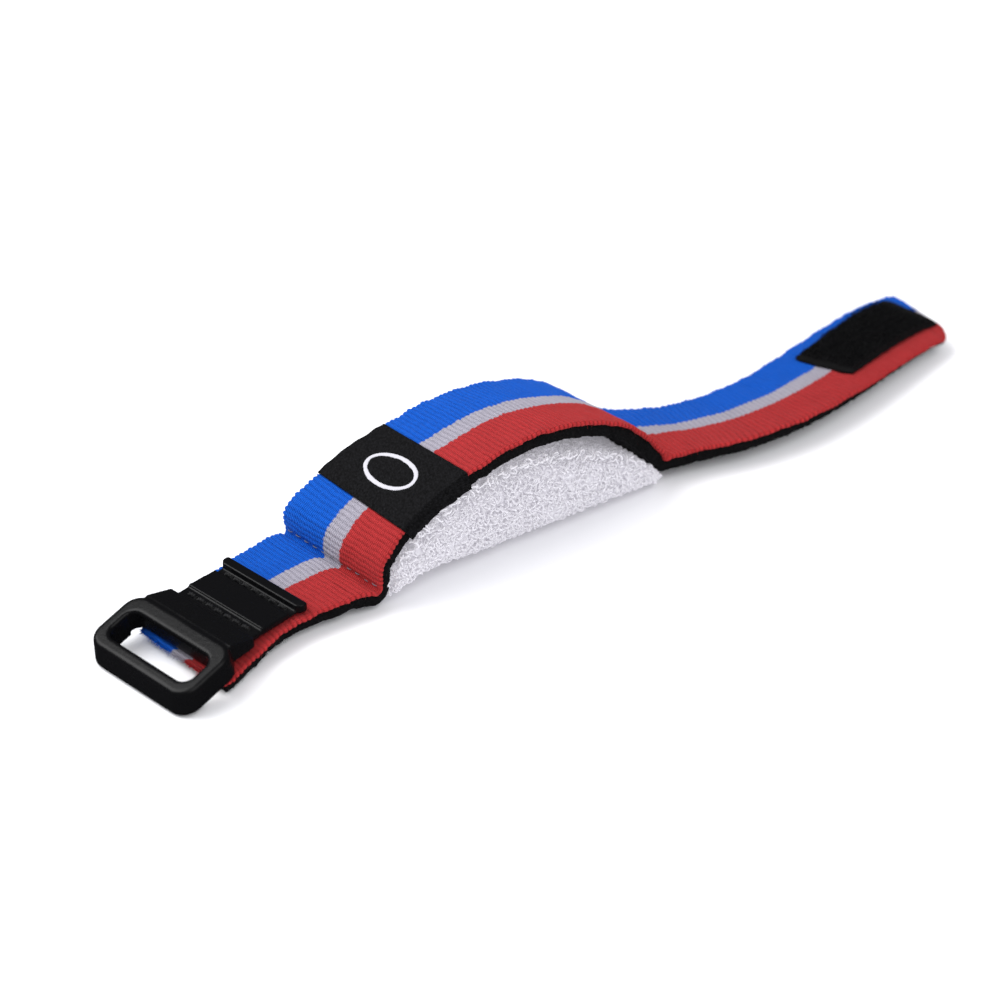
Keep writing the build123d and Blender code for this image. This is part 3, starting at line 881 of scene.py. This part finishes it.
def terry_loops():
    """All the loops of the pad, in pieces by side. None stand under the middle of the arch."""
    random = np.random.default_rng(41)
    _, _, area = terry_places(10, random)
    places, normals, _ = terry_places(int(area * LOOP_DENSITY), random)
    _, offset, height = STRAP.nearest(places)
    shown = (height <= -STACK - 1.0) | (np.abs(offset) >= ROOF_HALF_WIDTH)
    rim_places, rim_normals = rim_curls(random)
    places, normals = np.vstack([rim_places, places[shown]]), np.vstack([rim_normals, normals[shown]])
    size = LOOP_RADIUS * np.where(np.arange(len(places)) < len(rim_places), RIM_CURL, 1.0)
    near = (normals[:, 1] < -0.45) | ((normals[:, 2] > 0.2) & (places[:, 1] < 0))
    under = ~near & (normals[:, 2] < -0.3)
    made = []
    for name, chosen in (("near", near), ("under", under), ("far", ~near & ~under)):
        index = np.flatnonzero(chosen)
        index = index[np.argsort(places[index, 0])]
        for k, part in enumerate(np.array_split(index, math.ceil(len(index) / LOOPS_IN_PIECE))):
            paths = loop_paths(places[part] - normals[part] * LOOP_ROOT, normals[part], random, size[part])
            paths[..., 2] = np.maximum(paths[..., 2], YARN_RADIUS)
            points, faces = tubes(paths, YARN_RADIUS * random.uniform(0.8, 1.2, (len(part), 1)))
            made.append(mesh_piece(f"terry_loops_{name}_{k + 1}", points, faces))
    return made


# --- label
def label_sleeve(material):
    """The woven label: a thin sleeve right round the strap."""
    low, high = LABEL_SPAN
    stations = np.linspace(low, high, int((high - low) / 0.2))
    ss, share, out, down, _ = wrap(stations, 48, 12, 30, 0.4)
    surfaces = []
    for grow in (LABEL_GAP + LABEL_THICKNESS, LABEL_GAP):
        half = STRAP.half_at(ss) + grow - EDGE_RADIUS
        offset = share * half + np.sign(share) * out * EDGE_RADIUS
        points = STRAP.at(ss, offset, grow - down * (STACK + 2 * grow) + edge_rise(ss, offset))
        surfaces.append(points + STRAP.normal_at(ss) * (waves(51, points, 2.5) * 0.04)[..., None])
    rows, columns = ss.shape
    outer = ring_faces(rows, columns)
    first = np.arange(columns)
    second = (first + 1) % columns
    rim = np.stack([first, second, second + ss.size, first + ss.size], -1)
    faces = np.vstack([outer, outer[:, ::-1] + ss.size, rim[:, ::-1], rim + (rows - 1) * columns])
    around = lengths_along(surfaces[0][0])
    data = {"round": np.tile(np.repeat(around[None], rows, 0).ravel(), 2), "along": np.tile(ss.ravel(), 2)}
    points = np.vstack([surface.reshape(-1, 3) for surface in surfaces])
    cloth = mesh_piece("label_cloth", points, faces, data)
    fit(cloth, material, "pad", ["label_sleeve"])


def label_mark(material):
    """A plain oval ring woven on the label in raised yarn."""
    angle = np.linspace(0, 2 * np.pi, 480, endpoint=False)
    a, w = np.meshgrid(angle, np.linspace(-1, 1, 9), indexing="ij")
    fray = 1 + 0.08 * np.sin(a * 97) + 0.05 * waves(61, np.stack([np.cos(a), np.sin(a)], -1) * 9, 1.0)
    stroke = MARK_STROKE / 2 * w * fray
    across = (MARK_SIZE[0] - MARK_STROKE / 2 + stroke) * np.cos(a)
    along = (MARK_SIZE[1] - MARK_STROKE / 2 + stroke) * np.sin(a)
    crown = np.sqrt(np.clip(1 - w ** 2, 0, 1))
    height = LABEL_GAP + LABEL_THICKNESS - 0.05 + crown * (0.16 + 0.03 * np.sin(a * 110 + w * 2))
    points = STRAP.at(sum(LABEL_SPAN) / 2 + along, across, height)
    rows, columns = a.shape
    i, j = np.meshgrid(np.arange(rows), np.arange(columns - 1), indexing="ij")
    first = i * columns + j
    second = ((i + 1) % rows) * columns + j
    faces = np.stack([second, second + 1, first + 1, first], -1).reshape(-1, 4)
    ring = mesh_piece("label_ring", points.reshape(-1, 3), faces)
    fit(ring, material, "pad", ["label_mark"])


# --- buckle
def softened_copy(node, name, voxel, passes):
    """A copy of a CAD node with its edges softened, as moulded parts have them."""
    mesh = frame["nodes"][node].data.copy()
    mesh.transform(Matrix.Scale(1 / MM, 4))
    work = bmesh.new()
    work.from_mesh(mesh)
    bmesh.ops.remove_doubles(work, verts=work.verts, dist=0.001)
    work.to_mesh(mesh)
    work.free()
    piece = new_object(name, mesh)
    remesh = piece.modifiers.new("remesh", "REMESH")
    remesh.mode = "VOXEL"
    remesh.voxel_size = voxel
    soften = piece.modifiers.new("soften", "SMOOTH")
    soften.factor = 0.5
    soften.iterations = passes
    evaluated = piece.evaluated_get(bpy.context.evaluated_depsgraph_get())
    made = bpy.data.meshes.new_from_object(evaluated)
    piece.modifiers.clear()
    piece.data = made
    made.transform(Matrix.Scale(MM, 4))
    made.materials.clear()
    made.polygons.foreach_set("use_smooth", np.full(len(made.polygons), True))
    return piece


# --- thread
def crease_stitches(name, node, s, material):
    """The pale stitches that hold the strap down in one of its creases."""
    random = np.random.default_rng(len(name))
    reach = STRAP.half_at(s) - SEAM_MARGIN
    middle = np.arange(-reach, reach, STITCH_PITCH)
    middle = middle + random.normal(0, 0.08, len(middle))
    steps = np.linspace(-1, 1, 9)
    offset = middle[:, None] + steps * STITCH_LENGTH * 0.4
    stations = s + random.normal(0, 0.08, len(middle))[:, None] + 0 * offset
    dip = 0.25 * np.abs(steps) ** 3 + 0 * offset
    piece = mesh_piece(name, *tubes(STRAP.at(stations, offset, -dip), 0.075, 6))
    fit(piece, material, "pad", [node])


def stitch_row(name, node, body, material, radius, rise):
    """A row of two-ply stitches where the CAD has a row: each dips into the cloth at both ends."""
    points = node_points(node)
    centre = points.mean(0)
    _, _, axes = np.linalg.svd(points - centre, full_matrices=False)
    axis = axes[0]
    reach = (points - centre) @ axis
    count = int(round((reach.max() - reach.min() - STITCH_LENGTH) / STITCH_PITCH)) + 1
    starts = reach.min() + STITCH_LENGTH / 2 + np.arange(count) * STITCH_PITCH
    up = STRAP.normal_at(STRAP.nearest(centre[None])[0])[0]
    up = unit(up - axis * (up @ axis))
    aside = np.cross(axis, up)
    steps = np.linspace(-1, 1, 13)
    random = np.random.default_rng(len(node))
    strands = []
    for place in starts + random.normal(0, 0.05, count):
        line = (centre + axis * place + axis * steps[:, None] * (STITCH_LENGTH / 2 + 0.15)
                + up * (rise - 0.35 * np.abs(steps) ** 3)[:, None])
        for turn in (0, math.pi):
            twist = (steps * 5 + turn)[:, None]
            strands.append(line + radius * 0.55 * (np.cos(twist) * up + np.sin(twist) * aside))
    piece = mesh_piece(name, *tubes(np.array(strands), radius * 0.6, 6))
    fit(piece, material, body, [node])


# --- hook patch
def patch_taper(s, start, end):
    """How much further in the patch's far side lies towards its front end."""
    return PATCH_TAPER * np.clip(1 - (s - start) / (end - start) / 0.7, 0, 1)


def patch_tape(material):
    """The sewn tape, with rounded corners."""
    low, high = STRAP.span("hook_tape")
    ss, share, out, down, faces = wrap(np.linspace(low[0], high[0], 130), 50, 4, 10)
    middle, half = (low[1] + high[1]) / 2, (high[1] - low[1]) / 2
    from_end = np.clip(np.minimum(ss - low[0], high[0] - ss) / PATCH_CORNER, 0, 1)
    corner = 1.0 - np.sqrt(1 - (1 - from_end) ** 2)
    side = half - PATCH_ROUND - corner * PATCH_CORNER + 0.06 * np.sin(ss * 2.1)
    side = side - patch_taper(ss, low[0], high[0]) * (share > 0)
    offset = middle + share * side + np.sign(share) * out * PATCH_ROUND
    height = PATCH_THICKNESS * (1 - down) + 0 * ss
    points = STRAP.at(ss - PATCH_SKEW * (0.1 + (offset - low[1]) / (2 * half)), offset, height)
    points = points + STRAP.normal_at(ss) * (waves(71, points, 3.0) * 0.05)[..., None]
    tape = mesh_piece("hook_cloth", points.reshape(-1, 3), faces)
    fit(tape, material, "tail_tip", ["hook_tape"])


def patch_hooks(material):
    """The field of small moulded hooks, which lean either way in turn."""
    low, high = STRAP.span("hook_field")
    random = np.random.default_rng(72)
    rows = np.arange(low[0] + 0.3, high[0] - 0.2, HOOK_PITCH)
    lines = np.arange(low[1] - 0.3, high[1] + 0.4, HOOK_PITCH)
    place, line = (grid.ravel() for grid in np.meshgrid(rows, lines, indexing="ij"))
    kept = line < high[1] + 0.4 - patch_taper(place, low[0], high[0])
    place, line = place[kept], line[kept]
    place = place + random.normal(0, 0.07, len(place))
    line = line + random.normal(0, 0.05, len(line))
    way = np.where(np.round((line - low[1]) / HOOK_PITCH) % 2 > 0, 1.0, -1.0)
    bend = np.array([0, 0, 0.05, 0.22, 0.42, 0.5])
    rise = np.array([0, 0.45, 0.72, 0.86, 0.74, 0.5])
    tall = random.uniform(0.85, 1.1, len(place))[:, None]
    sway = random.normal(0, 0.12, len(place))[:, None]
    place = place - PATCH_SKEW * (0.1 + (line - low[1]) / (high[1] - low[1]))
    paths = STRAP.at(place[:, None] + way[:, None] * bend, line[:, None] + sway * rise, 0.42 + rise * tall)
    hooks = mesh_piece("hook_loops", *tubes(paths, 0.10))
    fit(hooks, material, "tail_tip", ["hook_field"])


# --- strap sections, one for each joint
SECTIONS = (("buckle", "buckle", "front", "buckle_fold"), ("front", "pad", "front", "front_fold"),
            ("tail_root", "pad", "tail_root", "tail_fold"),
            ("tail_middle", "tail_root", "tail_middle", "tail_curl"),
            ("tail_end", "tail_middle", "tail_end", "tail_curl_middle"),
            ("tail_tip", "tail_end", "tail_tip", "tail_curl_tip"))


def section_breaks():
    """Arc lengths where one section of strap ends and the next begins, in the grooves between ribs."""
    curls = [STRAP.joint(name) for name in TAIL_JOINTS]
    places = [(STRAP.joint("buckle_fold") + LEFT_FOOT) / 2, sum(LABEL_SPAN) / 2]
    places += [(a + b) / 2 for a, b in zip(curls, curls[1:])]
    return [0.0] + [round(place / RIB_PITCH) * RIB_PITCH for place in places] + [STRAP.length]


def cross_joint(piece, name):
    """Bakes a piece of strap's transform into its mesh; the ends either side of the joint it crosses are
    worked out but not used.
    """
    s = STRAP.joint(name)
    reach = BEND_REACH.get(name, CURL_REACH)
    ends = STRAP.at(np.array([s - reach, s + reach]), np.zeros(2), np.full(2, -STACK / 2)) * MM
    if name == "front_fold":
        ends = ends[::-1]
    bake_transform(piece)


def strap_sections(elastic, cloth):
    """Every section of the band, and of the backing under it."""
    breaks = section_breaks()
    for (section, first, second, joint), start, end in zip(SECTIONS, breaks, breaks[1:]):
        band = band_piece(f"band_{section}", start, end)
        backing = backing_piece(f"cloth_{section}", start or BACKING_SHORT, end)
        for piece, material, slot, kind in ((band, elastic, "striped_elastic", "strap"),
                                            (backing, cloth, "black_backing", "backing")):
            cross_joint(piece, joint)
            nodes = [f"{kind}_{section}"] + ([f"{kind}_arch"] if section == "tail_root" else [])
            fit(piece, material, nodes=nodes)


# --- stage: floor, lights and camera
def aim(name, data, azimuth, elevation, distance):
    """Puts a lamp or camera round the aim point, facing it: azimuth 0 stands at -Y and 90 at +X."""
    a, e = math.radians(azimuth), math.radians(elevation)
    back = Vector((math.sin(a) * math.cos(e), -math.cos(a) * math.cos(e), math.sin(e)))
    holder = new_object(name, data)
    holder.location = AIM + back * distance
    holder.rotation_mode = "QUATERNION"
    holder.rotation_quaternion = (-back).to_track_quat("-Z", "Y")
    return holder


def lamp(name, azimuth, elevation, distance, size, power):
    light = bpy.data.lights.new(name, "AREA")
    light.size = size
    light.energy = power
    aim(name, light, azimuth, elevation, distance)


def body_corners(body):
    """The corners of the box round a body's nodes at rest."""
    boxes = [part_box(node) for node in frame["record"]["behaviour"]["bodies"][body]]
    low = [min(box[0][k] for box in boxes) for k in range(3)]
    high = [max(box[1][k] for box in boxes) for k in range(3)]
    return itertools.product(*zip(low, high))


def keep_below(floor):
    """The floor sinks with the lowest corner of a folded strap, so it hides none of it."""
    driver = floor.driver_add("location", 2).driver
    moving = [body for body in frame["bodies"] if body != "pad"]
    corners = [(body, corner) for body in moving for corner in body_corners(body)]
    for k, (body, corner) in enumerate(corners):
        probe = new_object(f"corner_{body}")
        probe.location = corner
        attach(probe, body)
        variable = driver.variables.new()
        variable.name = f"z{k}"
        variable.type = "TRANSFORMS"
        variable.targets[0].id = probe
        variable.targets[0].transform_type = "LOC_Z"
        variable.targets[0].transform_space = "WORLD_SPACE"
    driver.expression = f"min({FLOOR_LEVEL},{','.join(f'z{k}' for k in range(len(corners)))})"


def studio():
    """A white floor under a soft white sky. Both look darker in glossy reflections."""
    bpy.ops.mesh.primitive_plane_add(size=6, location=(0, 0, FLOOR_LEVEL))
    floor = bpy.context.object
    floor.name = "floor"
    material, graph = new_material("floor_white")
    colour = graph.mix(graph.glossy(), FLOOR_WHITE, FLOOR_IN_GLOSS)
    graph.set(Base_Color=colour, Roughness=0.9, Specular_IOR_Level=0.0)
    floor.data.materials.append(material)
    keep_below(floor)
    world = bpy.data.worlds.new("studio")
    world.use_nodes = True
    graph = Graph(world.node_tree, "Background")
    strength = graph.rescale(graph.glossy(), 0, 1, SKY, SKY * SKY_IN_GLOSS)
    graph.set(Color=(0.96, 0.97, 1.0, 1), Strength=strength)
    bpy.context.scene.world = world
    bpy.context.scene.view_settings.view_transform = "Standard"


def camera():
    """The camera, focused on the middle of the pad's arch."""
    data = bpy.data.cameras.new("camera")
    data.lens = LENS
    data.sensor_width = 36.0
    data.clip_start, data.clip_end = 0.01, 20
    focus = new_object("focus")
    focus.location = STRAP.at(np.array([FOCUS_AT]), np.zeros(1), np.zeros(1))[0] * MM
    data.dof.use_dof = True
    data.dof.focus_object = focus
    data.dof.aperture_fstop = F_STOP
    bpy.context.scene.camera = aim("camera", data, CAMERA_AZIMUTH, CAMERA_ELEVATION, CAMERA_DISTANCE)


# --- build
black = black_cloth("black_backing")
strap_sections(striped_elastic(), black)
yarn = terry_yarn()
fit(terry_base(), yarn, "pad", ["terry_cover", "terry_lining", "pad_filling"])
for piece in terry_loops():
    fit(piece, yarn, "pad")
label_sleeve(woven_label())
label_mark(thread("label_yarn", LABEL_WHITE))
body = softened_copy("buckle", "buckle_body", voxel=0.16, passes=5)
fit(body, moulded_black(), "buckle", ["buckle"])
black_thread = thread("sewing_thread_black", THREAD_DARK, 0.5)
for row in ("front", "rear"):
    stitch_row(f"buckle_thread_{row}", f"buckle_stitches_{row}", "buckle", black_thread, radius=0.3, rise=0.1)
stitch_row("patch_thread", "patch_stitches", "tail_tip", black_thread, radius=0.16, rise=-0.05)
light_thread = thread("sewing_thread_pale", SEAM_THREAD)
crease_stitches("seam_thread_front", "pad_seam_front", LEFT_FOOT + SEAM_SHIFT, light_thread)
crease_stitches("seam_thread_tail", "pad_seam_tail", RIGHT_FOOT - SEAM_SHIFT, light_thread)
patch_tape(black_cloth("hook_tape", 3000))
patch_hooks(moulded_black())

studio()
lamp("key", CAMERA_AZIMUTH - 100, 52, distance=0.9, size=0.7, power=9.0)
lamp("fill", CAMERA_AZIMUTH + 40, 50, distance=1.2, size=0.9, power=6.0)
camera()
